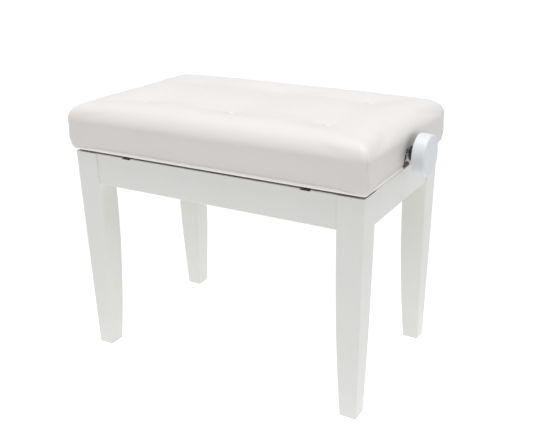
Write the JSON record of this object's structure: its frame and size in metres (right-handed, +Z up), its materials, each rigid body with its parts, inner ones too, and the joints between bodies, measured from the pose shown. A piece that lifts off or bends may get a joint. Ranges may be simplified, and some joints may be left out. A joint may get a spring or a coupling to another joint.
{
  "type": "piano bench",
  "caption": "White adjustable piano bench: tapered wooden legs and aprons, deep skirted padded seat with piping and covered buttons, knob-driven scissor lift under the seat.",
  "frame": {"origin": "on the floor, under the middle of the bench", "axes": "+X along the bench, towards the knob that the spindle's right-hand end carries; +Y across it, from front to back; +Z up"},
  "size_m": [0.6376, 0.336, 0.466],
  "materials": {
    "white_lacquer": "gloss",
    "bare_wood": "matte",
    "plywood": "matte",
    "black_board": "matte",
    "leatherette": "satin",
    "piping_leatherette": "satin",
    "foam": "matte",
    "black_steel": "satin",
    "zinc_steel": "satin",
    "spindle_steel": "satin",
    "white_plastic": "gloss",
    "nylon": "matte",
    "glide_plastic": "matte"
  },
  "bodies": {
    "frame": {"leg_front_left": "white_lacquer", "leg_front_right": "white_lacquer", "leg_back_left": "white_lacquer", "leg_back_right": "white_lacquer", "apron_front": "white_lacquer", "apron_back": "white_lacquer", "apron_left": "white_lacquer", "apron_right": "white_lacquer", "corner_braces": "bare_wood", "foot_glides": "glide_plastic", "hanger_bolts": "zinc_steel", "brace_washers": "zinc_steel", "hanger_nuts": "zinc_steel", "lower_rail_front": "black_steel", "lower_rail_back": "black_steel", "lower_rail_screws": "zinc_steel", "lower_pivot_pins": "zinc_steel"},
    "seat": {"seat_board": "plywood", "skirt_front": "black_board", "skirt_back": "black_board", "skirt_left": "black_board", "skirt_right": "black_board", "foam_pad": "foam", "side_wadding": "foam", "seat_cover": "leatherette", "tuft_buttons": "leatherette", "piping": "piping_leatherette", "upper_rail_front": "black_steel", "upper_rail_back": "black_steel", "spindle_bracket_left": "black_steel", "spindle_bracket_right": "black_steel", "upper_rail_screws": "zinc_steel", "bracket_screws": "zinc_steel", "spindle_bushes": "nylon"},
    "arm_pair_a": {"arm_a_front": "black_steel", "arm_a_back": "black_steel", "arm_a_cross_tube": "black_steel", "centre_pivot_pins": "zinc_steel"},
    "arm_pair_b": {"arm_b_front": "black_steel", "arm_b_back": "black_steel", "upper_pivot_pins": "zinc_steel", "lower_slide_rod": "zinc_steel"},
    "nut_carriage": {"lift_cross_bar": "black_steel", "drive_nut": "black_steel"},
    "spindle_and_knobs": {"spindle": "spindle_steel", "spindle_collars": "zinc_steel", "knob_ferrules": "black_steel", "knob_grub_screws": "zinc_steel", "knob_left": "white_plastic", "knob_right": "white_plastic"}
  },
  "joints": [
    {"name": "seat_lift", "type": "slide", "parent": "frame", "child": "seat", "axis": [0, 0, 1], "range_m": [0, 0.1]},
    {"name": "arm_a_swing", "type": "hinge", "parent": "frame", "child": "arm_pair_a", "pos_m": [-0.172, 0, 0.374], "axis": [0, -1, 0], "range_deg": [0, 17.1]},
    {"name": "arm_b_swing", "type": "hinge", "parent": "arm_pair_a", "child": "arm_pair_b", "pos_m": [0, 0, 0.394], "axis": [0, -1, 0], "range_deg": [-34.2, 0]},
    {"name": "nut_carriage_pivot", "type": "hinge", "parent": "arm_pair_a", "child": "nut_carriage", "pos_m": [0.172, 0, 0.414], "axis": [0, -1, 0], "range_deg": [-17.1, 0]},
    {"name": "spindle_turn", "type": "hinge", "parent": "seat", "child": "spindle_and_knobs", "pos_m": [0, 0, 0.414], "axis": [1, 0, 0], "range_deg": [0, 3270]}
  ],
  "couplings": [
    {"joint": "arm_a_swing", "follows": "seat_lift", "rad_per_m": 2.9827},
    {"joint": "arm_b_swing", "follows": "seat_lift", "rad_per_m": -5.9655},
    {"joint": "nut_carriage_pivot", "follows": "seat_lift", "rad_per_m": -2.9827},
    {"joint": "spindle_turn", "follows": "seat_lift", "rad_per_m": 570.54}
  ]
}
